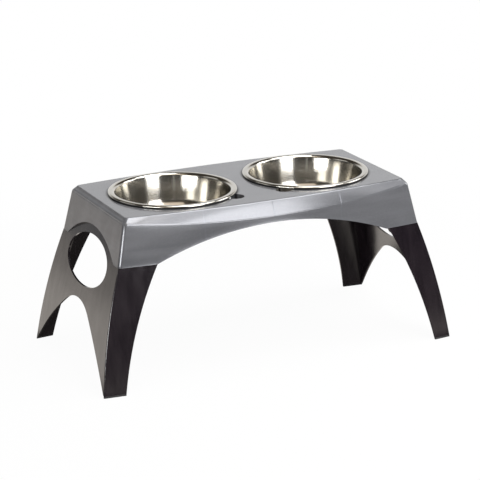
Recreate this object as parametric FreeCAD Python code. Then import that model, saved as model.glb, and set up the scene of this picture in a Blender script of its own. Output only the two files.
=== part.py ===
import FreeCAD, Part
import math
import os
from FreeCAD import Vector

os.makedirs("parts", exist_ok=True)

# Elevated dog feeder. A moulded tray with two round openings stands on two leg frames,
# one pushed up into each end of it, and carries two lift-out steel bowls.
# X runs along the tray, the front is at -Y and Z is up. The origin is on the floor
# under the middle of the tray. Lengths are millimetres and angles are degrees.

# Tray: a bevelled top with bowed long sides over a flared skirt
tray_height = 270.0          # floor to the flat top face
tray_depth = 74.5            # top face down to the lower edge of the skirt
tray_wall = 3.0
top_length = 488.0           # flat top face, between its corners
top_width = 215.0
side_bow = 15.5              # how far the long sides swell at their middle
bevel_run = 7.0              # sideways reach of the bevel under the top face
bevel_drop = 8.0             # height of the bevel at the ends and corners
bevel_middle_drop = 23.5     # height of the bevel at the middle of the long sides
skirt_end_flare = 14.0       # how far each end wall leans out below the bevel
skirt_side_flare = 9.0
tray_corner_radius = 6.0
top_edge_radius = 2.5
bevel_edge_radius = 6.0      # soft lower edge of the bevel
least_corner_radius = 0.6

# Arches in the lower edge of the skirt
side_land = 63.0             # straight edge from each corner to the arch, along the long sides
side_arch_rise = 41.0
end_land = 23.5              # the same along the ends
end_arch_rise = 37.0

# Bowl openings, their finger notches, and the collars and ribs that stiffen them
bowl_spacing = 239.0
bowl_clearance = 2.0         # between the bowl's wall and the edge of its opening
notch_radius = 14.0
notch_reach = 4.0            # centre of the notch, outside the bowl's rim
notch_angle = 45.0           # from the tray's length, towards the front middle
collar_wall = 2.5
collar_depth = 12.0
rib_wall = 2.2
rib_depth = 16.0
rib_shares = (-0.5, 0.0, 0.5)  # places of the ribs, along the bowl spacing

# Bowls: pressed sheet with a lip, a flat rim and a rolled edge
mouth_radius = 93.0
lip_radius = 5.0
rim_flat = 4.2               # flat of the rim between the lip and the rolled edge
rim_rise = 4.6               # rim above the top face, which is the height of the rolled edge
rim_seat = 1.5               # flat under the rolled edge that rests on the tray
bowl_sheet = 0.9
bowl_depth = 62.0            # rim to floor, inside
bowl_wall_lean = 11.0        # from the vertical
floor_corner_radius = 18.0

# Leg frames: an end panel with a hand hole and a lower arch, and two corner flanges
foot_end_spread = 44.0       # foot corners outside the skirt's corners, along the tray
foot_side_spread = 32.75     # and across it
end_bulge = 6.0              # swell of the end panel at half its height
leg_wall = 3.0
leg_set_back = 0.6           # legs lie this far inside the skirt where they meet it
leg_corner_radius = 2.0
wide_flange_foot = 35.5      # width of the left leg's front flange at the floor
narrow_flange_foot = 29.5    # width of its back flange; the right leg is the same one turned round
narrow_flange_step = 5.0     # how much the narrow flange is narrower at the top
flange_bulge = 9.0           # hollow of each flange's inner edge at half its height
hand_hole_margin = 18.0      # panel left between the hand hole and each end of the arch above it
hand_hole_height = 78.5
panel_ring = 16.5            # panel left between the hand hole and the crown of that arch
panel_bridge = 21.5          # panel left between the hand hole and the lower arch
panel_crown_width = 104.0    # round crown of the lower arch
panel_crown_rise = 18.0
panel_side_bulge = 5.0       # swell of the lower arch's sides
panel_rib_place = 99.0       # tapered ribs inside the panel, each side of its middle
panel_rib_wall = 2.0
panel_rib_depth = 10.0       # how far each rib stands in from the panel at the skirt
panel_rib_level = 72.0       # floor to the foot of each rib
panel_rib_inset = 13.0       # foot of each rib, inside the leg's own foot

# Tongue of each leg frame, which fills the end of the tray from inside
tongue_wall = 5.0
tongue_headroom = 17.5       # between the tongue and the underside of the top
tongue_clearance = 0.3
shoulder_depth = 9.0
shoulder_lap = 9.0           # how far the shoulder reaches under the arch of the tray's end wall
arch_clearance = 0.5         # between the end panel and the arch of the tray's end wall

# Foot pads: rubber strips under the flanges, each keyed into a groove in the leg
pad_thickness = 3.0
key_wall = 1.2
key_height = 4.0
key_clearance = 0.05
key_end_shares = (0.2, 0.8)  # ends of the key, along the pad

overrun = 20.0               # how far the cutting shapes run past what they cut

# Values that follow from the sizes above
leg_height = tray_height - tray_depth
bevel_level = tray_height - bevel_drop
bevel_half_length = top_length / 2 + bevel_run
bevel_half_width = top_width / 2 + bevel_run
skirt_half_length = bevel_half_length + skirt_end_flare
skirt_half_width = bevel_half_width + skirt_side_flare
end_slope = skirt_end_flare / (bevel_level - leg_height)
side_slope = skirt_side_flare / (bevel_level - leg_height)
arch_edge = skirt_half_length - side_land
side_arch_span = 2 * arch_edge
end_arch_span = 2 * (skirt_half_width - end_land)
rim_radius = mouth_radius + lip_radius + rim_flat + rim_rise / 2
opening_radius = mouth_radius + bowl_sheet + bowl_clearance
notch_offset = rim_radius + notch_reach
shoulder_half_length = skirt_half_length - leg_set_back
shoulder_half_width = skirt_half_width - leg_set_back
foot_half_length = skirt_half_length + foot_end_spread
foot_half_width = skirt_half_width + foot_side_spread
flange_splay = side_bow * (1 - (arch_edge / skirt_half_length) ** 2) / side_land
flange_spread = flange_splay * (foot_half_length - shoulder_half_length)
flange_lean = (foot_half_width - shoulder_half_width + flange_spread) / leg_height
hand_hole_width = end_arch_span - 2 * hand_hole_margin
hand_hole_level = leg_height + end_arch_rise - panel_ring - hand_hole_height / 2
panel_arch_height = hand_hole_level - hand_hole_height / 2 - panel_bridge
tongue_inset = tray_wall + tongue_clearance
tongue_height = tray_depth - tray_wall - tongue_headroom
reach = foot_half_length + foot_half_width + overrun


def arc(start, middle, end):
    """Edge of the circular arc through three points."""
    return Part.Arc(start, middle, end).toShape()


def prism(edges, direction):
    """Solid swept along direction from the flat outline that the edges close."""
    return Part.Face(Part.Wire(edges)).extrude(direction)


def polygon(points):
    """Straight edges that join the points in turn, without closing them."""
    return [Part.makeLine(first, second) for first, second in zip(points, points[1:])]


def arch_radius(span, rise):
    """Radius of the arc that rises over a straight span."""
    return (span ** 2 / 4 + rise ** 2) / (2 * rise)


def tray_outline(half_length, half_width, corner, height, middle_out=0, middle_drop=0):
    """Closed outline of the tray at one level, with bowed long sides and round corners.

    The middle of each long side may lie further out and lower than the corners.
    """
    bow_radius = arch_radius(2 * half_length, side_bow)
    bow_centre = half_width + side_bow - bow_radius
    corner_x = half_length - corner
    corner_y = bow_centre + math.sqrt((bow_radius - corner) ** 2 - corner_x ** 2)
    outward = Vector(corner_x, corner_y - bow_centre, 0).normalize()
    halfway = (outward + Vector(1, 0, 0)).normalize()
    edges = []
    for turn in (1, -1):
        middle = Vector(0, turn * (half_width + side_bow + middle_out), height - middle_drop)
        bow_end = Vector(0, bow_centre, 0) + outward * bow_radius
        bend = Vector(corner_x, corner_y, 0) + halfway * corner
        near_bow = Vector(turn * bow_end.x, turn * bow_end.y, height)
        far_bow = Vector(-turn * bow_end.x, turn * bow_end.y, height)
        near_bend = Vector(turn * bend.x, turn * bend.y, height)
        far_bend = Vector(turn * bend.x, -turn * bend.y, height)
        near_end = Vector(turn * half_length, turn * corner_y, height)
        far_end = Vector(turn * half_length, -turn * corner_y, height)
        next_bow = Vector(turn * bow_end.x, -turn * bow_end.y, height)
        edges.append(arc(far_bow, middle, near_bow))
        edges.append(arc(near_bow, near_bend, near_end))
        edges.append(Part.makeLine(near_end, far_end))
        edges.append(arc(far_end, far_bend, next_bow))
    return Part.Wire(edges)


def tray_body(inset, bottom):
    """Tray without its cavity, its outside moved in by inset and its skirt run down to bottom."""
    corner = max(tray_corner_radius - inset, least_corner_radius)
    dip = bevel_middle_drop - bevel_drop
    top = tray_outline(top_length / 2 - inset, top_width / 2 - inset, corner, tray_height - inset)
    bevel = tray_outline(
        bevel_half_length - inset,
        bevel_half_width - inset,
        corner,
        bevel_level - inset,
        middle_out=side_slope * dip,
        middle_drop=dip,
    )
    drop = leg_height - bottom
    skirt = tray_outline(
        skirt_half_length + end_slope * drop - inset,
        skirt_half_width + side_slope * drop - inset,
        corner,
        bottom,
    )
    return Part.makeLoft([top, bevel, skirt], True, True)


def rounded_tray_body():
    """Tray body with soft edges above and below its bevel."""
    body = tray_body(0, leg_height)
    skirt_middle = tray_height - (bevel_middle_drop + tray_depth) / 2
    bevel_middle = tray_height - bevel_drop / 2
    top_edges = [edge for edge in body.Edges if edge.BoundBox.ZMin > bevel_middle]
    body = body.makeFillet(top_edge_radius, top_edges)
    bevel_edges = []
    for edge in body.Edges:
        if edge.BoundBox.ZMin > skirt_middle and edge.BoundBox.ZMax < bevel_middle:
            bevel_edges.append(edge)
    return body.makeFillet(bevel_edge_radius, bevel_edges)


def arch_prism(span, rise, radius_cut, along):
    """Round arch over the lower edge of the skirt, swept right across the tray.

    The arch is struck from one centre, with its radius reduced by radius_cut.
    """
    radius = arch_radius(span, rise)
    depth = radius - rise
    half = math.sqrt((radius - radius_cut) ** 2 - depth ** 2)
    across = Vector(0, 0, 1).cross(along)
    foot = Vector(0, 0, leg_height)
    drop = Vector(0, 0, -overrun)
    crown = foot + Vector(0, 0, rise - radius_cut)
    left = foot - across * half
    right = foot + across * half
    edges = [arc(left, crown, right)]
    edges += polygon([right, right + drop, left + drop, left])
    return prism(edges, along * (2 * reach)).translated(along * -reach)


def opening(side, margin, lower, upper):
    """Bowl opening with its finger notch, grown by margin, between two levels."""
    height = upper - lower
    centre = Vector(side * bowl_spacing / 2, 0, lower)
    radial = Vector(-side * math.cos(math.radians(notch_angle)), -math.sin(math.radians(notch_angle)), 0)
    across = radial.cross(Vector(0, 0, 1))
    width = across * (notch_radius + margin)
    tip = centre + radial * notch_offset
    bowl_hole = Part.makeCylinder(opening_radius + margin, height, centre)
    notch_end = Part.makeCylinder(notch_radius + margin, height, tip)
    corners = [centre - width, centre + width, tip + width, tip - width, centre - width]
    notch = prism(polygon(corners), Vector(0, 0, height))
    return bowl_hole.fuse([notch_end, notch])


def rib(place, inner):
    """Web across the underside of the tray top at one place along it."""
    lower = tray_height - tray_wall - rib_depth
    corner = Vector(place - rib_wall / 2, -reach, lower)
    return Part.makeBox(rib_wall, 2 * reach, tray_height - lower, corner).common(inner)


def tray():
    """Tray with its cavity, skirt arches, bowl openings, collars and ribs."""
    inner = tray_body(tray_wall, leg_height - overrun)
    shell = rounded_tray_body().cut(inner)
    shell = shell.cut(arch_prism(side_arch_span, side_arch_rise, 0, Vector(0, 1, 0)))
    shell = shell.cut(arch_prism(end_arch_span, end_arch_rise, 0, Vector(1, 0, 0)))
    ceiling = tray_height - tray_wall
    sides = (-1, 1)
    collars = [opening(side, collar_wall, ceiling - collar_depth, ceiling) for side in sides]
    ribs = [rib(share * bowl_spacing, inner) for share in rib_shares]
    shell = shell.fuse(collars + ribs)
    holes = [opening(side, 0, leg_height, tray_height + overrun) for side in sides]
    return shell.cut(holes).removeSplitter()


def bowl_side(under):
    """Edges of the bowl's half section, from its axis to its rolled edge.

    Args:
        under: distance of the section below the food side, which is 0 or the sheet.
    """
    lean = math.radians(bowl_wall_lean)
    top = tray_height + rim_rise
    floor = top - bowl_depth
    roll = rim_rise / 2
    lip = Vector(mouth_radius + lip_radius, 0, top - lip_radius)
    lip_size = lip_radius - under
    lip_foot = lip + Vector(-math.cos(lean), 0, math.sin(lean)) * lip_radius
    heel_level = floor + floor_corner_radius
    heel_rise = lip_foot.z - heel_level + floor_corner_radius * math.sin(lean)
    heel_x = lip_foot.x - heel_rise * math.tan(lean) - floor_corner_radius * math.cos(lean)
    heel = Vector(heel_x, 0, heel_level)
    heel_size = floor_corner_radius + under
    edge = Vector(rim_radius - roll, 0, top - roll)
    edge_size = roll - under
    heel_turn = -(math.pi / 2 + lean) / 2
    lip_turn = (math.pi * 3 / 2 - lean) / 2
    axis_point = Vector(0, 0, floor - under)
    floor_end = heel + Vector(0, 0, -heel_size)
    heel_middle = heel + Vector(math.cos(heel_turn), 0, math.sin(heel_turn)) * heel_size
    wall_foot = heel + Vector(math.cos(lean), 0, -math.sin(lean)) * heel_size
    wall_top = lip + Vector(-math.cos(lean), 0, math.sin(lean)) * lip_size
    lip_middle = lip + Vector(math.cos(lip_turn), 0, math.sin(lip_turn)) * lip_size
    rim_start = lip + Vector(0, 0, lip_size)
    rim_end = edge + Vector(0, 0, edge_size)
    roll_middle = edge + Vector(edge_size, 0, 0)
    seat_start = edge + Vector(0, 0, -edge_size)
    seat_end = seat_start + Vector(-rim_seat, 0, 0)
    return [
        Part.makeLine(axis_point, floor_end),
        arc(floor_end, heel_middle, wall_foot),
        Part.makeLine(wall_foot, wall_top),
        arc(wall_top, lip_middle, rim_start),
        Part.makeLine(rim_start, rim_end),
        arc(rim_end, roll_middle, seat_start),
        Part.makeLine(seat_start, seat_end),
    ]


def bowl(side):
    """Bowl in one opening of the tray, turned about its own axis."""
    food_side = bowl_side(0)
    under_side = bowl_side(bowl_sheet)
    tip = Part.makeLine(food_side[-1].Vertexes[-1].Point, under_side[-1].Vertexes[-1].Point)
    axis = Part.makeLine(food_side[0].Vertexes[0].Point, under_side[0].Vertexes[0].Point)
    edges = Part.__sortEdges__(food_side + under_side + [tip, axis])
    turned = Part.Face(Part.Wire(edges)).revolve(Vector(0, 0, 0), Vector(0, 0, 1), 360)
    return turned.translated(Vector(side * bowl_spacing / 2, 0, 0))


def end_cylinder(inset):
    """Leaning, slightly swollen outside of the right leg's end panel, as a wide cylinder."""
    foot = Vector(foot_half_length, 0, 0)
    shoulder = Vector(shoulder_half_length, 0, leg_height)
    middle = (foot + shoulder) / 2 + Vector(end_bulge, 0, 0)
    circle = Part.Circle(foot, middle, shoulder)
    start = Vector(circle.Center.x, -reach, circle.Center.z)
    return Part.makeCylinder(circle.Radius - inset, 2 * reach, start, Vector(0, 1, 0))


def flange_half_width(along, level, inset):
    """Half width between the leg's front and back flanges at one place and level."""
    lean = flange_lean * (leg_height - level)
    return shoulder_half_width + lean + flange_splay * (shoulder_half_length - along) - inset


def side_wedge(inset, lower, upper):
    """Flat-sided space between the front and back flanges of the right leg."""
    loops = []
    for level in (lower, upper):
        near = flange_half_width(0, level, inset)
        far = flange_half_width(reach, level, inset)
        corners = [Vector(0, -near, level), Vector(reach, -far, level)]
        corners += [Vector(reach, far, level), Vector(0, near, level)]
        loops.append(corners)
    low, high = loops
    faces = [Part.Face(Part.makePolygon(loop + loop[:1])) for loop in loops]
    for here, after in ((0, 1), (1, 2), (2, 3), (3, 0)):
        corners = [low[here], low[after], high[after], high[here], low[here]]
        faces.append(Part.Face(Part.makePolygon(corners)))
    return Part.Solid(Part.Shell(faces))


def leg_block(inset, lower, upper):
    """Right leg filled solid between two levels, its outside moved in by inset."""
    block = end_cylinder(inset).common(side_wedge(inset, lower, upper))
    radius = max(leg_corner_radius - inset, least_corner_radius)
    corners = []
    for edge in block.Edges:
        if edge.BoundBox.XMin > arch_edge and edge.BoundBox.ZLength > (upper - lower) / 2:
            corners.append(edge)
    return block.makeFillet(radius, corners)


def flange_strips(depth, lower, upper):
    """Pair of strips along the front and back flanges of the right leg, of one depth."""
    return leg_block(0, lower, upper).cut(side_wedge(depth, lower - overrun, upper + overrun))


def under_space():
    """Open space between the legs, up to the curved inner edges of the two flanges."""
    drop = Vector(0, 0, -overrun)
    rise = Vector(0, 0, tray_depth)
    halves = []
    for flange_foot, flange_top, start in (
        (narrow_flange_foot, arch_edge + narrow_flange_step, -reach),
        (wide_flange_foot, arch_edge, 0),
    ):
        foot = Vector(foot_half_length - flange_foot, start, 0)
        shoulder = Vector(flange_top, start, leg_height)
        middle = (foot + shoulder) / 2 + Vector(flange_bulge, 0, 0)
        back = Vector(-flange_top, 0, 0)
        edges = [arc(foot, middle, shoulder)]
        edges += polygon([shoulder, shoulder + rise, shoulder + rise + back])
        edges += polygon([shoulder + rise + back, Vector(0, start, 0) + drop, foot + drop, foot])
        halves.append(prism(edges, Vector(0, reach, 0)))
    return halves[0].fuse(halves[1])


def hand_hole():
    """Wide oval hand hole, swept along the tray."""
    centre = Vector(0, 0, hand_hole_level)
    side = centre + Vector(0, hand_hole_width / 2, 0)
    crown = centre + Vector(0, 0, hand_hole_height / 2)
    oval = Part.Ellipse(side, crown, centre).toShape()
    return prism([oval], Vector(reach, 0, 0))


def panel_arch():
    """Lower arch of the end panel: a round crown and two slightly swollen sides."""
    base = foot_half_width - leg_wall
    crown = Vector(0, 0, panel_arch_height)
    spring_level = panel_arch_height - panel_crown_rise
    edges = []
    springs = [Vector(0, side * panel_crown_width / 2, spring_level) for side in (-1, 1)]
    feet = [Vector(0, side * base, 0) for side in (-1, 1)]
    for side, spring, foot in zip((-1, 1), springs, feet):
        swell = Vector(0, side * spring_level, base - panel_crown_width / 2).normalize()
        edges.append(arc(spring, (spring + foot) / 2 + swell * panel_side_bulge, foot))
    edges.append(arc(springs[0], crown, springs[1]))
    drop = Vector(0, 0, -overrun)
    edges += polygon([feet[0], feet[0] + drop, feet[1] + drop, feet[1]])
    return prism(Part.__sortEdges__(edges), Vector(reach, 0, 0))


def panel_ribs():
    """Tapered ribs on the inside of the right leg's end panel, one on each side of the hand hole."""
    wall = Vector(0, panel_rib_wall, 0)
    upper = Vector(shoulder_half_length - leg_wall - panel_rib_depth, 0, leg_height)
    lower = Vector(foot_half_length - panel_rib_inset, 0, panel_rib_level)
    far = Vector(reach, 0, leg_height)
    blade = prism(polygon([upper, far, lower, upper]), wall).translated(wall / -2)
    blades = [blade.translated(Vector(0, side * panel_rib_place, 0)) for side in (-1, 1)]
    block = leg_block(leg_wall / 2, -overrun, leg_height)
    return [blade.common(block) for blade in blades]


def pad_keys(grow):
    """Thin ribs that stand up from the right leg's pads into its flanges, grown all round."""
    inset = (leg_wall - key_wall) / 2 - grow
    depth = (leg_wall + key_wall) / 2 + grow
    upper = pad_thickness + key_height + grow
    ribs = side_wedge(inset, 0, upper).cut(side_wedge(depth, -overrun, upper + overrun))
    blocks = []
    for flange_foot, start in ((narrow_flange_foot, -reach), (wide_flange_foot, 0)):
        first, last = [foot_half_length - flange_foot * share for share in key_end_shares]
        corner = Vector(last - grow, start, 0)
        blocks.append(Part.makeBox(first - last + 2 * grow, reach, upper, corner))
    return ribs.common(blocks[0].fuse(blocks[1]))


def tongue():
    """Right leg's upper walls, which lie inside the skirt and the top of the tray."""
    upper = leg_height + tongue_height
    outside = tray_body(tongue_inset, leg_height)
    inside = tray_body(tongue_inset + tongue_wall, leg_height - overrun)
    slab = Part.makeBox(reach, 2 * reach, upper - leg_height, Vector(0, -reach, leg_height))
    walls = outside.cut(inside).common(slab)
    return walls.cut(arch_prism(end_arch_span, end_arch_rise, arch_clearance, Vector(1, 0, 0)))


def shoulder():
    """Thick corners of the right leg under the skirt, which carry the tray and hold the tongue."""
    lower = leg_height - shoulder_depth
    hollow = leg_block(tongue_inset + tongue_wall, -overrun, tray_height)
    gap = end_arch_span - 2 * shoulder_lap
    middle = Part.makeBox(reach, gap, 2 * shoulder_depth, Vector(0, -gap / 2, lower))
    return leg_block(0, lower, leg_height).cut([hollow, middle])


def right_leg_frame():
    """Right leg frame: flanges, end panel, shoulder and tongue in one moulding."""
    upper = leg_height + tongue_height
    hollow = leg_block(leg_wall, -overrun, tray_height)
    channel = leg_block(0, pad_thickness, leg_height).cut([hollow, panel_arch()])
    window = arch_prism(end_arch_span, end_arch_rise, arch_clearance, Vector(1, 0, 0))
    ring = leg_block(0, leg_height, upper).cut(hollow).common(window)
    frame = channel.fuse([shoulder(), ring, tongue()] + panel_ribs())
    return frame.cut([under_space(), hand_hole(), pad_keys(key_clearance)]).removeSplitter()


def right_foot_pads():
    """Front and back rubber pads under the right leg, each with its key."""
    strips = flange_strips(leg_wall, 0, pad_thickness).cut(under_space())
    pads = strips.fuse(pad_keys(0)).removeSplitter()
    return sorted(pads.Solids, key=lambda solid: solid.CenterOfMass.y)


def turned(shape):
    """Copy of a right-hand piece turned half round to the left end."""
    return shape.rotated(Vector(0, 0, 0), Vector(0, 0, 1), 180)


front_pad, back_pad = right_foot_pads()
leg_frame = right_leg_frame()
pieces = {
    "tray": tray(),
    "left_bowl": bowl(-1),
    "right_bowl": bowl(1),
    "left_leg_frame": turned(leg_frame),
    "right_leg_frame": leg_frame,
    "front_left_foot_pad": turned(back_pad),
    "back_left_foot_pad": turned(front_pad),
    "front_right_foot_pad": front_pad,
    "back_right_foot_pad": back_pad,
}
for name, shape in pieces.items():
    shape.exportStep("parts/" + name + ".step")
    print(name, len(shape.Solids), shape.isValid(), round(shape.Volume / 1000, 2), "cm3")
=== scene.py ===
"""Looks of the elevated dog feeder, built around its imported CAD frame.

The tray, the leg frames and the foot pads keep their CAD shapes and get moulded finishes.
The two steel bowls are turned afresh, each with a full rolled edge.
Lengths are metres in the frame of the CAD: X along the tray, front at -Y, Z up.
"""

import logging
import math
from dataclasses import dataclass, field
from enum import Enum

import bmesh
import bpy
from bmesh.types import BMesh, BMVert
from bpy.types import Material, Node, NodeSocket, NodeTree, Object
from mathutils import Matrix, Vector


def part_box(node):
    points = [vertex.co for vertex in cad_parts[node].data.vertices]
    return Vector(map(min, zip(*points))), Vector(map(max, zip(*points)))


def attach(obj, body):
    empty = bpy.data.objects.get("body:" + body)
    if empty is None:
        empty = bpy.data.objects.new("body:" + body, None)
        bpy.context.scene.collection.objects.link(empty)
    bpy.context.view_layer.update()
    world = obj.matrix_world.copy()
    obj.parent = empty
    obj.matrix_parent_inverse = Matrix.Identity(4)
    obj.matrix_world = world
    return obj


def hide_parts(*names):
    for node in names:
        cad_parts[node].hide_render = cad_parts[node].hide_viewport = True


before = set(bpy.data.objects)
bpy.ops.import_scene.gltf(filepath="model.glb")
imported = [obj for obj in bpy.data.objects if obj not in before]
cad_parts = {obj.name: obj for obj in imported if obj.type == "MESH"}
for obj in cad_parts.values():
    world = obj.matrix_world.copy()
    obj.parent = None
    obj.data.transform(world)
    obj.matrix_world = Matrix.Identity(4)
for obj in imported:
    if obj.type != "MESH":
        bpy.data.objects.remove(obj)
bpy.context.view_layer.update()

log = logging.getLogger("feeder")

MILLIMETRE = 0.001
UP = Vector((0.0, 0.0, 1.0))
WHITE_HEX = "#ffffff"
NOISE_SPAN = (0.3, 0.7)  # nearly all values of a noise texture lie between these


class Body(Enum):
    """Bodies of the frame that new pieces ride on, by their names there."""

    LEFT_BOWL = "left_bowl"
    RIGHT_BOWL = "right_bowl"


def linear(hex_colour: str) -> tuple[float, float, float, float]:
    """Turns an sRGB hex colour into linear light, by the standard's own curve.

    Args:
        hex_colour: colour written as #rrggbb.

    Returns:
        Linear red, green and blue, and an alpha of one.
    """
    parts = [int(hex_colour[start:start + 2], 16) / 255 for start in (1, 3, 5)]
    light = [part / 12.92 if part <= 0.04045 else ((part + 0.055) / 1.055) ** 2.4 for part in parts]
    return (*light, 1.0)


def pattern_scale(size_mm: float) -> float:
    """Gives the texture scale whose features are about size_mm across on Object coordinates."""
    return 1 / (size_mm * MILLIMETRE)


def add_node(
    tree: NodeTree, kind: str, inputs: dict[int | str, object] | None = None, **settings: object
) -> Node:
    """Adds one node with its settings, its constants and its links.

    Args:
        tree: node tree that takes the node.
        kind: type name of the node, without the shader prefix.
        inputs: constants, or output sockets to link from, by the input's name or number.
        settings: properties of the node itself.

    Returns:
        The new node.
    """
    node = tree.nodes.new("ShaderNode" + kind)
    for name, value in settings.items():
        setattr(node, name, value)
    for key, value in (inputs or {}).items():
        if isinstance(value, NodeSocket):
            tree.links.new(value, node.inputs[key])
        else:
            node.inputs[key].default_value = value
    return node


def blank_material(name: str) -> tuple[Material, NodeTree]:
    """Makes a material with an empty node tree.

    Args:
        name: name of the material.

    Returns:
        The material and its tree.
    """
    material = bpy.data.materials.new(name)
    material.use_nodes = True
    material.node_tree.nodes.clear()
    return material, material.node_tree


@dataclass(frozen=True)
class FlakedAbs:
    """Silver-grey ABS with aluminium flake, injection moulded.

    The flake gives it a soft metallic gloss with a fine sparkle, the melt leaves long pale
    flow marks, and the skirt sinks faintly over the ribs behind it. A dark, less glossy ring
    round each bowl's rim is painted contact shadow where the rim rests on the top.
    """

    name: str = "flaked_grey_abs"
    ior: float = 1.5
    specular_level: float = 0.5
    metallic: tuple[float, float] = (0.39, 0.45)
    roughness: tuple[float, float] = (0.15, 0.20)
    # Flow marks of the melt, and the finer level streaks in which the flake lies flat.
    deep_hex: str = "#606165"
    pale_hex: str = "#6c6d71"
    flow_mm: float = 26.0
    flow_stretch: float = 0.2
    flow_turn: float = 0.5
    streak_mm: float = 7.0
    streak_stretch: float = 0.05
    # Sparkle of the flake.
    spark_hex: str = "#a3a4a7"
    spark_start: float = 0.55
    spark_share: float = 0.12
    flake_mm: float = 0.9  # real flake is under 0.1 mm, drawn this coarse to show
    flake_strength: float = 0.05
    flake_depth: float = 0.00004
    # Faint waviness of the moulded skin.
    peel_mm: float = 2.2
    peel_strength: float = 0.12
    peel_depth: float = 0.00004
    # Sink marks over the ribs, on the skirt outside the half width of the top.
    sink_hex: str = "#6a6d74"
    sink_share: float = 0.35
    sink_strength: float = 0.3
    sink_depth: float = 0.0002
    rib_places: tuple[float, ...] = (-0.1195, 0.0, 0.1195)
    rib_half_width: float = 0.0016
    top_half_width: float = 0.112
    # Painted contact shadow: a dark, less glossy ring round each bowl's rim where it rests on the
    # top.
    contact_shadow_hex: str = "#1d1d1f"
    contact_shadow_place: float = 0.1195
    contact_shadow_radius: float = 0.1045
    contact_shadow_width: float = 0.0052
    contact_shadow_share: float = 0.93
    # Crown of the bevel, which drops furthest at mid length and is fuller at the tray's ends.
    top_level: float = 0.27
    bevel_drop: float = 0.008
    bevel_dip: float = 0.0155
    bevel_half_length: float = 0.251
    crown_mm: float = 0.44
    end_crown_mm: float = 1.1
    end_half_width: float = 0.1075
    # Flare along the skirt's lower edges and arches.
    edge_level: float = 0.1955
    arch_level: float = -0.2816
    arch_radius: float = 0.5181
    flare_width: float = 0.010
    flare_power: float = 3.0
    flare_mm: float = 0.3
    # Hollow under the bevel's lower edge.
    hollow_width: float = 0.012
    hollow_mm: float = 0.35

    def make(self) -> Material:
        """Builds the material.

        Returns:
            The finished material.
        """
        material, tree = blank_material(self.name)
        place = add_node(tree, "TexCoord").outputs["Object"]
        flow = self.flow_marks(tree, place)
        flakes = add_node(
            tree, "TexVoronoi", {"Vector": place, "Scale": pattern_scale(self.flake_mm)}
        )
        flake = flakes.outputs["Color"]
        sink = self.sink_lines(tree, place)
        contact_shadow = self.contact_shadow_rings(tree, place)
        gloss = add_node(
            tree,
            "MapRange",
            {
                "Value": flow,
                "From Min": NOISE_SPAN[0],
                "From Max": NOISE_SPAN[1],
                "To Min": self.roughness[0],
                "To Max": self.roughness[1],
            },
        )
        # The painted contact shadow round each rim also takes the gloss away there.
        gleam = add_node(
            tree, "MapRange", {"Value": contact_shadow, "To Min": self.specular_level, "To Max": 0.0}
        )
        shader = add_node(
            tree,
            "BsdfPrincipled",
            {
                "Base Color": self.colour(tree, flow, flake, sink, contact_shadow),
                "Metallic": self.metal(tree, place),
                "Roughness": gloss.outputs[0],
                "IOR": self.ior,
                "Specular IOR Level": gleam.outputs[0],
                "Normal": self.normal(tree, place, flake, sink),
            },
        )
        add_node(tree, "OutputMaterial", {"Surface": shader.outputs[0]})
        return material

    def flow_marks(self, tree: NodeTree, place: NodeSocket) -> NodeSocket:
        """Draws the long marks that the melt left as it filled the tool.

        Args:
            tree: tree of the material.
            place: Object coordinates.

        Returns:
            A socket with the tone of the marks.
        """
        drawn = add_node(
            tree,
            "Mapping",
            {
                "Vector": place,
                "Rotation": (0.0, 0.0, self.flow_turn),
                "Scale": (self.flow_stretch, 1.0, 1.0),
            },
        )
        flow = add_node(
            tree,
            "TexNoise",
            {
                "Vector": drawn.outputs[0],
                "Scale": pattern_scale(self.flow_mm),
                "Detail": 2.0,
                "Roughness": 0.4,
                "Distortion": 0.3,
            },
        )
        return flow.outputs[0]

    def metal(self, tree: NodeTree, place: NodeSocket) -> NodeSocket:
        """Draws how metallic the skin is, in level streaks.

        Args:
            tree: tree of the material.
            place: Object coordinates.

        Returns:
            A socket within the range of the metallic field.
        """
        combed = add_node(
            tree,
            "Mapping",
            {"Vector": place, "Scale": (self.streak_stretch, self.streak_stretch, 1.0)},
        )
        streak = add_node(
            tree,
            "TexNoise",
            {
                "Vector": combed.outputs[0],
                "Scale": pattern_scale(self.streak_mm),
                "Detail": 3.0,
                "Distortion": 0.4,
            },
        )
        metallic = add_node(
            tree,
            "MapRange",
            {
                "Value": streak.outputs[0],
                "From Min": NOISE_SPAN[0],
                "From Max": NOISE_SPAN[1],
                "To Min": self.metallic[0],
                "To Max": self.metallic[1],
            },
        )
        return metallic.outputs[0]

    def colour(
        self,
        tree: NodeTree,
        flow: NodeSocket,
        flake: NodeSocket,
        sink: NodeSocket,
        contact_shadow: NodeSocket,
    ) -> NodeSocket:
        """Lays the colours over each other: plastic, flake, sink marks and the painted contact
        shadow rings.

        Args:
            tree: tree of the material.
            flow: tone of the flow marks.
            flake: random tone of each flake.
            sink: share of the sink marks.
            contact_shadow: share of the painted contact shadow rings round the bowls' rims.

        Returns:
            A socket with the colour.
        """
        tone = add_node(
            tree, "MapRange", {"Value": flow, "From Min": NOISE_SPAN[0], "From Max": NOISE_SPAN[1]}
        )
        spark = add_node(
            tree,
            "MapRange",
            {"Value": flake, "From Min": self.spark_start, "To Max": self.spark_share},
        )
        faint = add_node(tree, "Math", {0: sink, 1: self.sink_share}, operation="MULTIPLY")
        colour = linear(self.deep_hex)
        for share, hex_colour in (
            (tone.outputs[0], self.pale_hex),
            (spark.outputs[0], self.spark_hex),
            (faint.outputs[0], self.sink_hex),
            (contact_shadow, self.contact_shadow_hex),
        ):
            layer = add_node(
                tree, "Mix", {0: share, 6: colour, 7: linear(hex_colour)}, data_type="RGBA"
            )
            colour = layer.outputs[2]
        return colour

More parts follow.
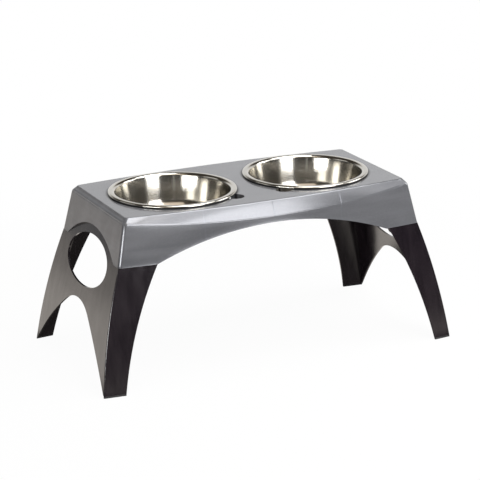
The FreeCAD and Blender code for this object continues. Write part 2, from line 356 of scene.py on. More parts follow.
    def normal(
        self, tree: NodeTree, place: NodeSocket, flake: NodeSocket, sink: NodeSocket
    ) -> NodeSocket:
        """Stacks the bumps: the skin, the flake, the sink marks and the shallow relief.

        Args:
            tree: tree of the material.
            place: Object coordinates.
            flake: random tone of each flake.
            sink: share of the sink marks.

        Returns:
            A socket with the normal.
        """
        peel = add_node(
            tree, "TexNoise", {"Vector": place, "Scale": pattern_scale(self.peel_mm), "Detail": 3.0}
        )
        layers = (
            (peel.outputs[0], self.peel_strength, self.peel_depth, False),
            (flake, self.flake_strength, self.flake_depth, False),
            (sink, self.sink_strength, self.sink_depth, True),
            (self.relief(tree, place), 1.0, MILLIMETRE, False),
        )
        under: dict[int | str, object] = {}
        for height, strength, depth, sunk in layers:
            bump = add_node(
                tree,
                "Bump",
                {"Height": height, "Strength": strength, "Distance": depth, **under},
                invert=sunk,
            )
            under = {"Normal": bump.outputs[0]}
        return under["Normal"]

    def contact_shadow_rings(self, tree: NodeTree, place: NodeSocket) -> NodeSocket:
        """Paints a contact shadow: a dark ring on the top round each bowl's rim, where it rests.

        Args:
            tree: tree of the material.
            place: Object coordinates.

        Returns:
            A socket that is the rings' share on them and nought elsewhere.
        """
        axes = add_node(tree, "SeparateXYZ", {0: place})
        out = add_node(tree, "Math", {0: axes.outputs["X"]}, operation="ABSOLUTE")
        off = add_node(tree, "Math", {0: out.outputs[0], 1: self.contact_shadow_place}, operation="SUBTRACT")
        flat = add_node(tree, "CombineXYZ", {0: off.outputs[0], 1: axes.outputs["Y"]})
        reach = add_node(tree, "VectorMath", {0: flat.outputs[0]}, operation="LENGTH")
        ring = add_node(
            tree, "Math", {0: reach.outputs["Value"], 1: self.contact_shadow_radius}, operation="SUBTRACT"
        )
        far = add_node(tree, "Math", {0: ring.outputs[0]}, operation="ABSOLUTE")
        share = add_node(
            tree,
            "MapRange",
            {
                "Value": far.outputs[0],
                "From Max": self.contact_shadow_width,
                "To Min": self.contact_shadow_share,
                "To Max": 0.0,
            },
            interpolation_type="SMOOTHSTEP",
        )
        return share.outputs[0]

    def sink_lines(self, tree: NodeTree, place: NodeSocket) -> NodeSocket:
        """Draws the faint sink marks on the skirt, one over each rib.

        Args:
            tree: tree of the material.
            place: Object coordinates.

        Returns:
            A socket that is one on a mark and nought elsewhere.
        """
        axes = add_node(tree, "SeparateXYZ", {0: place})
        out = add_node(tree, "Math", {0: axes.outputs["Y"]}, operation="ABSOLUTE")
        skirt = add_node(
            tree, "Math", {0: out.outputs[0], 1: self.top_half_width}, operation="GREATER_THAN"
        )
        total = 0.0
        for rib in self.rib_places:
            off = add_node(tree, "Math", {0: axes.outputs["X"], 1: rib}, operation="SUBTRACT")
            far = add_node(tree, "Math", {0: off.outputs[0]}, operation="ABSOLUTE")
            mark = add_node(
                tree,
                "MapRange",
                {
                    "Value": far.outputs[0],
                    "From Max": self.rib_half_width,
                    "To Min": 1.0,
                    "To Max": 0.0,
                },
                interpolation_type="SMOOTHSTEP",
            )
            joined = add_node(tree, "Math", {0: total, 1: mark.outputs[0]}, operation="MAXIMUM")
            total = joined.outputs[0]
        shown = add_node(tree, "Math", {0: total, 1: skirt.outputs[0]}, operation="MULTIPLY")
        return shown.outputs[0]

    def relief(self, tree: NodeTree, place: NodeSocket) -> NodeSocket:
        """Shapes the bevel's crown, the flare of the skirt's edges and the hollow between them.

        Args:
            tree: tree of the material.
            place: Object coordinates.

        Returns:
            A socket with the height in millimetres.
        """
        axes = add_node(tree, "SeparateXYZ", {0: place})
        along = add_node(
            tree, "Math", {0: axes.outputs["X"], 1: self.bevel_half_length}, operation="DIVIDE"
        )
        squared = add_node(
            tree, "Math", {0: along.outputs[0], 1: along.outputs[0]}, operation="MULTIPLY"
        )
        drop = add_node(
            tree,
            "Math",
            {0: squared.outputs[0], 1: -self.bevel_dip, 2: self.bevel_drop + self.bevel_dip},
            operation="MULTIPLY_ADD",
        )
        depth = add_node(
            tree, "Math", {0: self.top_level, 1: axes.outputs["Z"]}, operation="SUBTRACT"
        )
        crown = self.crown(tree, axes.outputs["Y"], depth.outputs[0], drop.outputs[0])
        raised = add_node(tree, "Math", {0: crown, 1: self.flare(tree, place)}, operation="ADD")
        hollow = self.hollow(tree, depth.outputs[0], drop.outputs[0])
        height = add_node(tree, "Math", {0: raised.outputs[0], 1: hollow}, operation="SUBTRACT")
        return height.outputs[0]

    def crown(
        self, tree: NodeTree, across: NodeSocket, depth: NodeSocket, drop: NodeSocket
    ) -> NodeSocket:
        """Bows the bevel out between its two edges.

        Args:
            tree: tree of the material.
            across: place across the tray.
            depth: depth under the top.
            drop: depth of the bevel's lower edge.

        Returns:
            A socket with the height in millimetres.
        """
        share = add_node(tree, "Math", {0: depth, 1: drop}, operation="DIVIDE", use_clamp=True)
        # Share times what is left of it, times four, is a bow that peaks at one.
        left = add_node(
            tree, "Math", {0: share.outputs[0], 1: -4.0, 2: 4.0}, operation="MULTIPLY_ADD"
        )
        bow = add_node(
            tree, "Math", {0: share.outputs[0], 1: left.outputs[0]}, operation="MULTIPLY"
        )
        end = add_node(
            tree, "Math", {0: across, 1: 0.0, 2: self.end_half_width}, operation="COMPARE"
        )
        end_crown = add_node(
            tree, "Math", {0: end.outputs[0], 1: self.end_crown_mm}, operation="MULTIPLY"
        )
        full = add_node(
            tree,
            "Math",
            {
                0: drop,
                1: self.crown_mm / (self.bevel_drop + self.bevel_dip),
                2: end_crown.outputs[0],
            },
            operation="MULTIPLY_ADD",
        )
        height = add_node(
            tree, "Math", {0: bow.outputs[0], 1: full.outputs[0]}, operation="MULTIPLY"
        )
        return height.outputs[0]

    def flare(self, tree: NodeTree, place: NodeSocket) -> NodeSocket:
        """Turns the skirt out along its lower edges and its arches.

        Args:
            tree: tree of the material.
            place: Object coordinates.

        Returns:
            A socket with the height in millimetres.
        """
        axes = add_node(tree, "SeparateXYZ", {0: place})
        flat = add_node(tree, "VectorMath", {0: place, 1: (1.0, 0.0, 1.0)}, operation="MULTIPLY")
        reach = add_node(
            tree, "VectorMath", {0: flat.outputs[0], 1: UP * self.arch_level}, operation="DISTANCE"
        )
        from_arch = add_node(
            tree, "Math", {0: reach.outputs["Value"], 1: self.arch_radius}, operation="SUBTRACT"
        )
        from_edge = add_node(
            tree, "Math", {0: axes.outputs["Z"], 1: self.edge_level}, operation="SUBTRACT"
        )
        inward = add_node(
            tree, "Math", {0: from_arch.outputs[0], 1: from_edge.outputs[0]}, operation="MINIMUM"
        )
        near = add_node(
            tree,
            "MapRange",
            {
                "Value": inward.outputs[0],
                "From Max": self.flare_width,
                "To Min": 1.0,
                "To Max": 0.0,
            },
        )
        bend = add_node(tree, "Math", {0: near.outputs[0], 1: self.flare_power}, operation="POWER")
        height = add_node(
            tree, "Math", {0: bend.outputs[0], 1: self.flare_mm}, operation="MULTIPLY"
        )
        return height.outputs[0]

    def hollow(self, tree: NodeTree, depth: NodeSocket, drop: NodeSocket) -> NodeSocket:
        """Lets the skirt in just under the bevel's lower edge.

        Args:
            tree: tree of the material.
            depth: depth under the top.
            drop: depth of the bevel's lower edge.

        Returns:
            A socket with the depth of the hollow in millimetres.
        """
        below = add_node(tree, "Math", {0: depth, 1: drop}, operation="SUBTRACT")
        near = add_node(
            tree,
            "MapRange",
            {
                "Value": below.outputs[0],
                "From Max": self.hollow_width,
                "To Min": 1.0,
                "To Max": 0.0,
            },
        )
        bend = add_node(
            tree, "Math", {0: near.outputs[0], 1: near.outputs[0]}, operation="MULTIPLY"
        )
        sunk = add_node(tree, "Math", {0: bend.outputs[0], 1: self.hollow_mm}, operation="MULTIPLY")
        return sunk.outputs[0]


@dataclass(frozen=True)
class SatinPolypropylene:
    """Charcoal polypropylene, injection moulded in a finely etched tool.

    It is nearly black face on and turns a soft grey where light skims it, with upright
    flow streaks and a fine even grain.
    """

    name: str = "charcoal_satin_polypropylene"
    deep_hex: str = "#110c11"
    pale_hex: str = "#1a1419"
    ior: float = 1.49
    roughness: tuple[float, float] = (0.13, 0.16)
    gleam: tuple[float, float] = (0.76, 0.98)
    gleam_span: tuple[float, float] = (0.35, 0.65)
    streak_mm: float = 14.0
    streak_stretch: float = 0.12
    grain_mm: float = 0.8
    grain_strength: float = 0.3
    grain_depth: float = 0.00005

    def make(self) -> Material:
        """Builds the material.

        Returns:
            The finished material.
        """
        material, tree = blank_material(self.name)
        place = add_node(tree, "TexCoord").outputs["Object"]
        drawn = add_node(
            tree, "Mapping", {"Vector": place, "Scale": (1.0, 1.0, self.streak_stretch)}
        )
        streak = add_node(
            tree,
            "TexNoise",
            {
                "Vector": drawn.outputs[0],
                "Scale": pattern_scale(self.streak_mm),
                "Detail": 4.0,
                "Distortion": 0.6,
            },
        )
        tone = add_node(
            tree,
            "MapRange",
            {"Value": streak.outputs[0], "From Min": NOISE_SPAN[0], "From Max": NOISE_SPAN[1]},
        )
        colour = add_node(
            tree,
            "Mix",
            {0: tone.outputs[0], 6: linear(self.deep_hex), 7: linear(self.pale_hex)},
            data_type="RGBA",
        )
        gloss = add_node(
            tree,
            "MapRange",
            {
                "Value": streak.outputs[0],
                "From Min": NOISE_SPAN[0],
                "From Max": NOISE_SPAN[1],
                "To Min": self.roughness[0],
                "To Max": self.roughness[1],
            },
        )
        gleam = add_node(
            tree,
            "MapRange",
            {
                "Value": streak.outputs[0],
                "From Min": self.gleam_span[0],
                "From Max": self.gleam_span[1],
                "To Min": self.gleam[0],
                "To Max": self.gleam[1],
            },
        )
        grain = add_node(
            tree,
            "TexNoise",
            {"Vector": place, "Scale": pattern_scale(self.grain_mm), "Detail": 2.0},
        )
        skin = add_node(
            tree,
            "Bump",
            {
                "Height": grain.outputs[0],
                "Strength": self.grain_strength,
                "Distance": self.grain_depth,
            },
        )
        shader = add_node(
            tree,
            "BsdfPrincipled",
            {
                "Base Color": colour.outputs[2],
                "Roughness": gloss.outputs[0],
                "Normal": skin.outputs[0],
                "IOR": self.ior,
                "Specular IOR Level": gleam.outputs[0],
            },
        )
        add_node(tree, "OutputMaterial", {"Surface": shader.outputs[0]})
        return material


@dataclass(frozen=True)
class PadRubber:
    """Black moulded rubber, dull, with a faint bloom of dust."""

    name: str = "black_moulded_rubber"
    deep_hex: str = "#171618"
    dust_hex: str = "#2a292a"
    ior: float = 1.52
    roughness: tuple[float, float] = (0.6, 0.85)
    dust_mm: float = 6.0
    dust_span: tuple[float, float] = (0.4, 0.75)
    grain_mm: float = 0.6
    grain_strength: float = 0.4
    grain_depth: float = 0.00008

    def make(self) -> Material:
        """Builds the material.

        Returns:
            The finished material.
        """
        material, tree = blank_material(self.name)
        place = add_node(tree, "TexCoord").outputs["Object"]
        dust = add_node(
            tree, "TexNoise", {"Vector": place, "Scale": pattern_scale(self.dust_mm), "Detail": 5.0}
        )
        tone = add_node(
            tree,
            "MapRange",
            {
                "Value": dust.outputs[0],
                "From Min": self.dust_span[0],
                "From Max": self.dust_span[1],
            },
        )
        colour = add_node(
            tree,
            "Mix",
            {0: tone.outputs[0], 6: linear(self.deep_hex), 7: linear(self.dust_hex)},
            data_type="RGBA",
        )
        dullness = add_node(
            tree,
            "MapRange",
            {"Value": dust.outputs[0], "To Min": self.roughness[0], "To Max": self.roughness[1]},
        )
        grain = add_node(
            tree,
            "TexNoise",
            {"Vector": place, "Scale": pattern_scale(self.grain_mm), "Detail": 2.0},
        )
        skin = add_node(
            tree,
            "Bump",
            {
                "Height": grain.outputs[0],
                "Strength": self.grain_strength,
                "Distance": self.grain_depth,
            },
        )
        shader = add_node(
            tree,
            "BsdfPrincipled",
            {
                "Base Color": colour.outputs[2],
                "Roughness": dullness.outputs[0],
                "Normal": skin.outputs[0],
                "IOR": self.ior,
            },
        )
        add_node(tree, "OutputMaterial", {"Surface": shader.outputs[0]})
        return material


@dataclass(frozen=True)
class SpunSteel:
    """Stainless steel sheet, polished on a lathe.

    The polishing marks run round the bowl, so each light draws out into an upright streak.
    """

    name: str
    axis: tuple[float, float, float]
    pale_hex: str = "#c9c6bf"
    deep_hex: str = "#b4b0a7"
    roughness: tuple[float, float] = (0.14, 0.18)
    anisotropy: float = 0.5
    streak_turn: float = 0.25  # share of a full turn between the marks and the streaks
    ring_mm: float = 0.7  # real polishing marks are finer, drawn this coarse to show
    ring_turns: float = 1.5
    ring_strength: float = 0.15
    ring_depth: float = 0.00002
    cloud_mm: float = 30.0

    def make(self) -> Material:
        """Builds the material.

        Returns:
            The finished material.
        """
        material, tree = blank_material(self.name)
        place = add_node(tree, "TexCoord").outputs["Object"]
        centred = add_node(tree, "VectorMath", {0: place, 1: self.axis}, operation="SUBTRACT")
        flat = add_node(
            tree, "VectorMath", {0: centred.outputs[0], 1: (1.0, 1.0, 0.0)}, operation="MULTIPLY"
        )
        polish = self.polish_rings(tree, place, flat.outputs[0])
        round_about = add_node(
            tree, "VectorMath", {0: UP, 1: flat.outputs[0]}, operation="CROSS_PRODUCT"
        )
        tangent = add_node(tree, "VectorMath", {0: round_about.outputs[0]}, operation="NORMALIZE")
        cloud = add_node(
            tree,
            "TexNoise",
            {"Vector": place, "Scale": pattern_scale(self.cloud_mm), "Detail": 2.0},
        )
        colour = add_node(
            tree,
            "Mix",
            {0: cloud.outputs[0], 6: linear(self.deep_hex), 7: linear(self.pale_hex)},
            data_type="RGBA",
        )
        gloss = add_node(
            tree,
            "MapRange",
            {
                "Value": polish,
                "From Min": NOISE_SPAN[0],
                "From Max": NOISE_SPAN[1],
                "To Min": self.roughness[0],
                "To Max": self.roughness[1],
            },
        )
        marks = add_node(
            tree,
            "Bump",
            {"Height": polish, "Strength": self.ring_strength, "Distance": self.ring_depth},
        )
        shader = add_node(
            tree,
            "BsdfPrincipled",
            {
                "Base Color": colour.outputs[2],
                "Metallic": 1.0,
                "Roughness": gloss.outputs[0],
                "Anisotropic": self.anisotropy,
                "Anisotropic Rotation": self.streak_turn,
                "Tangent": tangent.outputs[0],
                "Normal": marks.outputs[0],
            },
        )
        add_node(tree, "OutputMaterial", {"Surface": shader.outputs[0]})
        return material

    def polish_rings(self, tree: NodeTree, place: NodeSocket, flat: NodeSocket) -> NodeSocket:
        """Draws the polishing marks, which follow the wall and run round the axis.

        Args:
            tree: tree of the material.
            place: Object coordinates.
            flat: level offset from the bowl's axis.

        Returns:
            A socket with the tone of the marks.
        """
        radius = add_node(tree, "VectorMath", {0: flat}, operation="LENGTH")
        bearing = add_node(tree, "VectorMath", {0: flat}, operation="NORMALIZE")
        axes = add_node(tree, "SeparateXYZ", {0: place})
        turn = add_node(tree, "SeparateXYZ", {0: bearing.outputs[0]})
        along = add_node(
            tree, "Math", {0: radius.outputs["Value"], 1: axes.outputs["Z"]}, operation="ADD"
        )
        rings = add_node(
            tree,
            "Math",
            {0: along.outputs[0], 1: pattern_scale(self.ring_mm)},
            operation="MULTIPLY",
        )
        sweep = add_node(
            tree, "CombineXYZ", {0: turn.outputs["X"], 1: turn.outputs["Y"], 2: rings.outputs[0]}
        )
        polish = add_node(
            tree, "TexNoise", {"Vector": sweep.outputs[0], "Scale": self.ring_turns, "Detail": 3.0}
        )
        return polish.outputs[0]


def dress_node(node: str, material: Material) -> None:
    """Puts a material on a CAD node.

    Args:
        node: name of the node.
        material: finish that its slots take.
    """
    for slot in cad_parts[node].material_slots:
        slot.material = material
    log.info("%s wears %s", node, material.name)


@dataclass
class Tray:
    """Moulded tray that carries the bowls."""

    node: str = "tray"

    def dress(self) -> None:
        """Gives the tray its flaked plastic."""
        dress_node(self.node, FlakedAbs().make())


@dataclass
class LegFrames:
    """Pair of leg frames with their rubber foot pads."""

    frames: tuple[str, ...] = ("left_leg_frame", "right_leg_frame")
    pads: tuple[str, ...] = (
        "front_left_foot_pad",
        "back_left_foot_pad",
        "front_right_foot_pad",
        "back_right_foot_pad",
    )

    def dress(self) -> None:
        """Gives the frames their satin plastic and the pads their rubber."""
        plastic = SatinPolypropylene().make()
        for node in self.frames:
            dress_node(node, plastic)
        rubber = PadRubber().make()
        for node in self.pads:
            dress_node(node, rubber)


@dataclass
class Bowl:
    """One lift-out steel bowl, turned from sheet, with a lip, a flat rim and a rolled edge."""

    body: Body
    mouth_radius: float = 0.093
    lip_radius: float = 0.005
    roll_radius: float = 0.0023
    roll_turn: float = math.radians(300)
    sheet: float = 0.0009
    lean: float = math.radians(11)
    heel_radius: float = 0.026
    # Steps of the mesh, and the share of the sheet within which its vertices join.
    floor_rings: int = 5
    wall_rings: int = 8
    heel_steps: int = 14
    lip_steps: int = 12
    roll_steps: int = 16
    round_steps: int = 160
    weld_share: float = 0.01
    # Place, read from the CAD node.
    axis: Vector = field(init=False)
    top: float = field(init=False)
    floor: float = field(init=False)
    rim_radius: float = field(init=False)

    def __post_init__(self) -> None:
        """Reads the bowl's place from its CAD node."""
        low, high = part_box(self.body.value)
        self.axis = Vector(((low.x + high.x) / 2, (low.y + high.y) / 2, 0.0))
        self.top = high.z
        self.floor = low.z + self.sheet
        self.rim_radius = (high.x - low.x) / 2

    def section(self, mesh: BMesh) -> None:
        """Draws the food side of the bowl's half section, from the axis to the rolled edge.

        Args:
            mesh: empty mesh that takes the edges.
        """
        wall_way = Vector((-math.cos(self.lean), 0.0, math.sin(self.lean)))
        lip = Vector((self.mouth_radius + self.lip_radius, 0.0, self.top - self.lip_radius))
        lip_foot = lip + wall_way * self.lip_radius
        heel_level = self.floor + self.heel_radius
        heel_rise = lip_foot.z - heel_level + self.heel_radius * math.sin(self.lean)
        heel_reach = heel_rise * math.tan(self.lean) + self.heel_radius * math.cos(self.lean)
        heel = Vector((lip_foot.x - heel_reach, 0.0, heel_level))
        roll = Vector((self.rim_radius - self.roll_radius, 0.0, self.top - self.roll_radius))
        tip = mesh.verts.new((0.0, 0.0, self.floor))
        tip = self.run(mesh, tip, Vector((heel.x, 0.0, self.floor)), self.floor_rings)
        tip = self.turn(mesh, tip, heel, -(math.pi / 2 - self.lean), self.heel_steps)
        tip = self.run(mesh, tip, lip_foot, self.wall_rings)
        tip = self.turn(mesh, tip, lip, math.pi / 2 - self.lean, self.lip_steps)
        tip = self.run(mesh, tip, roll + UP * self.roll_radius, 1)
        self.turn(mesh, tip, roll, self.roll_turn, self.roll_steps)

    def run(self, mesh: BMesh, tip: BMVert, end: Vector, rings: int) -> BMVert:
        """Runs the section on in a straight line.

        Args:
            mesh: mesh of the section.
            tip: its last vertex so far.
            end: where the line ends.
            rings: number of equal steps along it.

        Returns:
            The new last vertex.
        """
        step = (end - tip.co) / rings
        for _ in range(rings):
            drawn = bmesh.ops.extrude_vert_indiv(mesh, verts=[tip])
            tip = drawn["verts"][0]
            bmesh.ops.translate(mesh, verts=[tip], vec=step)
        return tip

    def turn(self, mesh: BMesh, tip: BMVert, centre: Vector, angle: float, steps: int) -> BMVert:
        """Runs the section on round an arc in its own plane.

        Args:
            mesh: mesh of the section.
            tip: its last vertex so far.
            centre: centre of the arc.
            angle: turn about the Y axis.
            steps: number of segments.

        Returns:
            The new last vertex.
        """
        turned = bmesh.ops.spin(
            mesh, geom=[tip], cent=centre, axis=(0.0, 1.0, 0.0), angle=angle, steps=steps
        )
        return next(item for item in turned["geom_last"] if isinstance(item, BMVert))

    def build(self) -> Object:
        """Turns the section into the bowl.

        Returns:
            The bowl's object, riding on its body.
        """
        mesh = bmesh.new()
        self.section(mesh)
        bmesh.ops.spin(
            mesh,
            geom=mesh.verts[:] + mesh.edges[:],
            cent=(0.0, 0.0, 0.0),
            axis=UP,
            angle=2 * math.pi,
            steps=self.round_steps,
            use_merge=True,
        )
        bmesh.ops.remove_doubles(mesh, verts=mesh.verts, dist=self.sheet * self.weld_share)
        bmesh.ops.recalc_face_normals(mesh, faces=mesh.faces)
        bmesh.ops.solidify(mesh, geom=mesh.faces[:], thickness=self.sheet)
        bmesh.ops.translate(mesh, verts=mesh.verts, vec=self.axis)
        for face in mesh.faces:
            face.smooth = True
        name = self.body.value + "_pressing"
        data = bpy.data.meshes.new(name)
        mesh.to_mesh(data)
        mesh.free()
        bowl = bpy.data.objects.new(name, data)
        bpy.context.scene.collection.objects.link(bowl)
        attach(bowl, self.body.value)
        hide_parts(self.body.value)
        log.info("%s has %d faces", name, len(data.polygons))
        return bowl

    def dress(self, bowl: Object) -> None:
        """Gives the bowl its polished steel.

        Args:
            bowl: the bowl's object.
        """
        steel = SpunSteel(name="spun_steel_" + self.body.value, axis=tuple(self.axis))
        bowl.data.materials.append(steel.make())


@dataclass(frozen=True)
class Softbox:
    """Large soft lamp that faces the feeder.

    Azimuth turns in degrees from the front towards +X, and brightness is in units of white.
    """

    name: str
    azimuth: float
    distance: float
    centre_height: float
    width: float
    height: float
    brightness: float
    colour_hex: str = WHITE_HEX
    aim_height: float = 0.2

    def hang(self) -> None:
        """Adds the lamp, aimed at the feeder."""
        light = bpy.data.lights.new(self.name, "AREA")
        light.shape = "RECTANGLE"
        light.size = self.width
        light.size_y = self.height
        light.energy = self.brightness * math.pi * self.width * self.height
        light.color = linear(self.colour_hex)[:3]
        lamp = bpy.data.objects.new(self.name, light)
        side = math.radians(self.azimuth)
        way = Vector((math.sin(side), -math.cos(side), 0.0))
        place = way * self.distance + UP * self.centre_height
        facing = (UP * self.aim_height - place).to_track_quat("-Z", "Y")
        lamp.matrix_world = Matrix.Translation(place) @ facing.to_matrix().to_4x4()
        lamp.visible_camera = False
        bpy.context.scene.collection.objects.link(lamp)


@dataclass
class Studio:
    """Pale floor, white surround and soft lamps."""

    floor_radius: float = 9.0
    floor_sides: int = 96
    floor_hex: str = "#bdbdbd"
    # Faint shadow that the camera sees, which ends between the two radii.
    shadow_share: float = 0.04
    clear_radii: tuple[float, float] = (0.45, 1.1)
    # Floor as the feeder mirrors it: dark below it, and pale round it and out in front.
    warm_hex: str = "#fff7ee"
    shade_half_length: float = 0.29
    shade_back: float = 0.15
    shade_front: float = -0.25
    shade_corner: float = 0.5
    shade_blur: float = 0.08
    shade_glow: float = 0.1
    glow_radii: tuple[float, float] = (0.8, 1.8)
    glow_range: tuple[float, float] = (1.25, 0.75)
    front_start: float = 0.3
    front_glow: float = 0.8
    front_radii: tuple[float, float] = (0.7, 2.0)
    # Room as the feeder mirrors it: a white backdrop to one side and a dim warm ceiling.
    room_light: float = 0.12
    room_gloss: float = 0.06
    backdrop_gloss: float = 1.0
    backdrop_way: tuple[float, float, float] = (0.5, 0.866, 0.0)
    backdrop_span: tuple[float, float] = (0.38, 0.82)
    ceiling_gloss: float = 0.07
    ceiling_hex: str = "#fff0dc"
    ceiling_span: tuple[float, float] = (0.3, 0.45)
    # Name, azimuth, distance, height of the centre, width, height, brightness and colour.
    lamps: tuple[Softbox, ...] = (
        Softbox("front_softbox", 16.2, 2.4, 0.96, 1.15, 0.9, 8.0),
        Softbox("middle_softbox", 18.6, 1.96, 1.76, 1.2, 1.02, 4.0),
        Softbox("boom_softbox", 50.0, 0.75, 2.46, 1.8, 1.9, 8.0),
        Softbox("fill_softbox", 49.0, 2.0, 1.9, 0.9, 1.4, 1.45),
        Softbox("left_softbox", -60.0, 2.6, 0.48, 1.4, 0.42, 11.0),
        Softbox("slit_softbox", -28.0, 2.6, 0.7, 0.04, 0.9, 1.2),
        Softbox("right_softbox", 79.0, 1.8, 1.05, 1.0, 0.9, 6.0),
        Softbox("back_softbox", -112.0, 2.6, 1.4, 1.7, 0.8, 1.0),
        Softbox("warm_softbox", -20.0, 1.5, 2.35, 2.4, 1.6, 1.1, "#fff0de"),
    )

    def lay_floor(self) -> None:
        """Lays the round floor."""
        mesh = bmesh.new()
        bmesh.ops.create_circle(
            mesh, cap_ends=True, radius=self.floor_radius, segments=self.floor_sides
        )
        data = bpy.data.meshes.new("studio_floor")
        mesh.to_mesh(data)
        mesh.free()
        data.materials.append(self.floor_finish())
        floor = bpy.data.objects.new("studio_floor", data)
        bpy.context.scene.collection.objects.link(floor)

    def floor_finish(self) -> Material:
        """Makes the floor's paint, which looks white to the camera and keeps a faint shadow.

        Returns:
            The finished material.
        """
        material, tree = blank_material("studio_floor")
        path = add_node(tree, "LightPath")
        place = add_node(tree, "TexCoord").outputs["Object"]
        spread = add_node(tree, "VectorMath", {0: place}, operation="LENGTH")
        pale = self.floor_glow(tree, place, spread.outputs["Value"])
        mirrored = add_node(
            tree,
            "Math",
            {0: path.outputs["Is Glossy Ray"], 1: path.outputs["Is Transmission Ray"]},
            operation="MAXIMUM",
        )
        bright = add_node(
            tree,
            "MapRange",
            {
                "Value": spread.outputs["Value"],
                "From Min": self.clear_radii[0],
                "From Max": self.clear_radii[1],
                "To Min": 1 - self.shadow_share,
                "To Max": 1.0,
            },
            interpolation_type="SMOOTHSTEP",
        )
        plain = add_node(
            tree,
            "Math",
            {0: path.outputs["Is Camera Ray"], 1: bright.outputs[0]},
            operation="MULTIPLY",
        )
        glow_share = add_node(
            tree, "Math", {0: mirrored.outputs[0], 1: plain.outputs[0]}, operation="MAXIMUM"
        )
        strength = add_node(tree, "Mix", {0: path.outputs["Is Camera Ray"], 2: pale, 3: 1.0})
        shade = add_node(
            tree,
            "Mix",
            {0: path.outputs["Is Camera Ray"], 6: linear(self.warm_hex), 7: linear(WHITE_HEX)},
            data_type="RGBA",
        )
        paint = add_node(tree, "BsdfDiffuse", {"Color": linear(self.floor_hex)})
        glow = add_node(
            tree, "Emission", {"Color": shade.outputs[2], "Strength": strength.outputs[0]}
        )
        mixed = add_node(
            tree, "MixShader", {0: glow_share.outputs[0], 1: paint.outputs[0], 2: glow.outputs[0]}
        )
        add_node(tree, "OutputMaterial", {"Surface": mixed.outputs[0]})
        material.cycles.emission_sampling = "NONE"
        return material

    def floor_glow(self, tree: NodeTree, place: NodeSocket, spread: NodeSocket) -> NodeSocket:
        """Draws how bright the floor is in the feeder's reflections.

        Args:
            tree: tree of the floor's material.
            place: Object coordinates.
            spread: distance from the middle of the floor.

        Returns:
            A socket with the brightness.
        """
        axes = add_node(tree, "SeparateXYZ", {0: place})
        across = add_node(tree, "Math", {0: axes.outputs["X"]}, operation="ABSOLUTE")
        slant = add_node(
            tree, "Math", {0: axes.outputs["Y"], 1: across.outputs[0]}, operation="SUBTRACT"
        )
        fades = []
        for distance, start in (
            (across.outputs[0], self.shade_half_length),
            (axes.outputs["Y"], self.shade_back),
            (axes.outputs["Y"], self.shade_front),
            (slant.outputs[0], -self.shade_corner),
        ):
            faded = add_node(
                tree,
                "MapRange",
                {"Value": distance, "From Min": start, "From Max": start + self.shade_blur},
                interpolation_type="SMOOTHSTEP",
            )
            fades.append(faded.outputs[0])
        beside, behind, past_front, past_corner = fades
        outside = add_node(tree, "Math", {0: beside, 1: behind}, operation="MAXIMUM")
        shown = add_node(tree, "Math", {0: past_front, 1: past_corner}, operation="MULTIPLY")
        bare = add_node(
            tree, "Math", {0: outside.outputs[0], 1: shown.outputs[0]}, operation="MULTIPLY"
        )
        fall = add_node(
            tree,
            "MapRange",
            {
                "Value": spread,
                "From Min": self.glow_radii[0],
                "From Max": self.glow_radii[1],
                "To Min": self.glow_range[0],
                "To Max": self.glow_range[1],
            },
        )
        dimmed = add_node(
            tree, "Math", {0: bare.outputs[0], 1: fall.outputs[0]}, operation="MULTIPLY"
        )
        ahead = add_node(
            tree,
            "MapRange",
            {
                "Value": axes.outputs["Y"],
                "From Min": -self.front_start,
                "From Max": -self.front_start - self.shade_blur,
                "To Max": self.front_glow,
            },
        )
        near = add_node(
            tree,
            "MapRange",
            {
                "Value": spread,
                "From Min": self.front_radii[0],
                "From Max": self.front_radii[1],
                "To Min": 1.0,
                "To Max": 0.0,
            },
        )
        front = add_node(
            tree,
            "Math",
            {0: ahead.outputs[0], 1: near.outputs[0], 2: self.shade_glow},
            operation="MULTIPLY_ADD",
        )
        pale = add_node(
            tree, "Math", {0: dimmed.outputs[0], 1: front.outputs[0]}, operation="MAXIMUM"
        )
        return pale.outputs[0]

    def surround(self) -> None:
        """Makes the world: white to the camera, a white backdrop and a dim room to the object."""
        world = bpy.data.worlds.new("studio")
        bpy.context.scene.world = world
        world.use_nodes = True
        world.cycles.sampling_method = "NONE"
        tree = world.node_tree
        tree.nodes.clear()
        path = add_node(tree, "LightPath")
        way = add_node(tree, "TexCoord").outputs["Generated"]
        axes = add_node(tree, "SeparateXYZ", {0: way})
        facing = add_node(
            tree, "VectorMath", {0: way, 1: self.backdrop_way}, operation="DOT_PRODUCT"
        )
        behind = add_node(
            tree,
            "MapRange",
            {
                "Value": facing.outputs["Value"],
                "From Min": self.backdrop_span[0],
                "From Max": self.backdrop_span[1],
                "To Min": self.room_gloss,
                "To Max": self.backdrop_gloss,
            },
            interpolation_type="SMOOTHSTEP",
        )
        overhead = add_node(
            tree,
            "MapRange",
            {
                "Value": axes.outputs["Z"],
                "From Min": self.ceiling_span[0],
                "From Max": self.ceiling_span[1],
            },
            interpolation_type="SMOOTHSTEP",
        )
        mirrored = add_node(
            tree, "Mix", {0: overhead.outputs[0], 2: behind.outputs[0], 3: self.ceiling_gloss}
        )
        lit = add_node(
            tree,
            "Mix",
            {0: path.outputs["Is Glossy Ray"], 2: self.room_light, 3: mirrored.outputs[0]},
        )
        clear = add_node(
            tree,
            "Math",
            {0: path.outputs["Is Camera Ray"], 1: path.outputs["Is Transmission Ray"]},
            operation="MAXIMUM",
        )
        strength = add_node(tree, "Mix", {0: clear.outputs[0], 2: lit.outputs[0], 3: 1.0})
        warmth = add_node(
            tree,
            "Math",
            {0: overhead.outputs[0], 1: path.outputs["Is Glossy Ray"]},
            operation="MULTIPLY",
        )
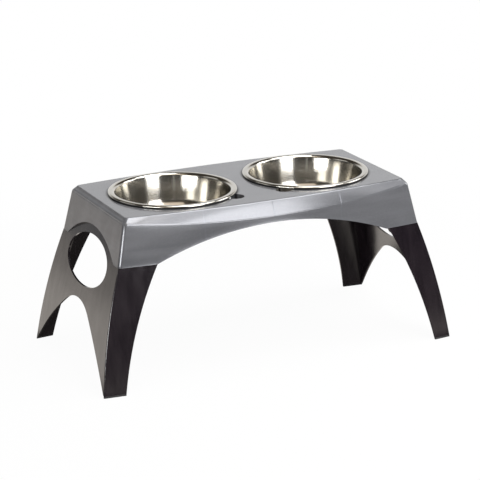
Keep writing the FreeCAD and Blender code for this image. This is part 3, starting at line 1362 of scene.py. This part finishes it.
        tint = add_node(
            tree,
            "Mix",
            {0: warmth.outputs[0], 6: linear(WHITE_HEX), 7: linear(self.ceiling_hex)},
            data_type="RGBA",
        )
        back = add_node(
            tree, "Background", {"Color": tint.outputs[2], "Strength": strength.outputs[0]}
        )
        add_node(tree, "OutputWorld", {"Surface": back.outputs[0]})

    def build(self) -> None:
        """Sets up the floor, the surround and the lamps."""
        self.lay_floor()
        self.surround()
        for lamp in self.lamps:
            lamp.hang()
        bpy.context.scene.view_settings.view_transform = "Standard"


@dataclass(frozen=True)
class PhotoCamera:
    """Camera at the photograph's viewing angle, for a square picture, with angles in radians."""

    place: tuple[float, float, float] = (-1.36346, -2.96444, 1.17665)
    azimuth: float = -0.4307
    elevation: float = 0.2992
    roll: float = -0.0173
    sensor_mm: float = 36.0
    picture_px: float = 480.0
    focal_px: float = 2070.5

    def set_up(self) -> None:
        """Adds the camera and makes it the scene's own."""
        data = bpy.data.cameras.new("photo_camera")
        data.sensor_fit = "HORIZONTAL"
        data.sensor_width = self.sensor_mm
        data.lens = self.sensor_mm * self.focal_px / self.picture_px
        camera = bpy.data.objects.new("photo_camera", data)
        level = math.cos(self.elevation)
        back = Vector(
            (
                math.sin(self.azimuth) * level,
                -math.cos(self.azimuth) * level,
                math.sin(self.elevation),
            )
        )
        right = Vector((math.cos(self.azimuth), math.sin(self.azimuth), 0.0))
        top = back.cross(right)
        tilted_right = right * math.cos(self.roll) + top * math.sin(self.roll)
        tilted_top = top * math.cos(self.roll) - right * math.sin(self.roll)
        facing = Matrix((tilted_right, tilted_top, back)).transposed().to_4x4()
        camera.matrix_world = Matrix.Translation(Vector(self.place)) @ facing
        bpy.context.scene.collection.objects.link(camera)
        bpy.context.scene.camera = camera


def main() -> None:
    """Builds and dresses the feeder, then sets the stage around it."""
    logging.basicConfig(level=logging.INFO)
    PhotoCamera().set_up()
    Tray().dress()
    LegFrames().dress()
    for body in Body:
        bowl = Bowl(body)
        bowl.dress(bowl.build())
    Studio().build()


if __name__ == "__main__":
    main()
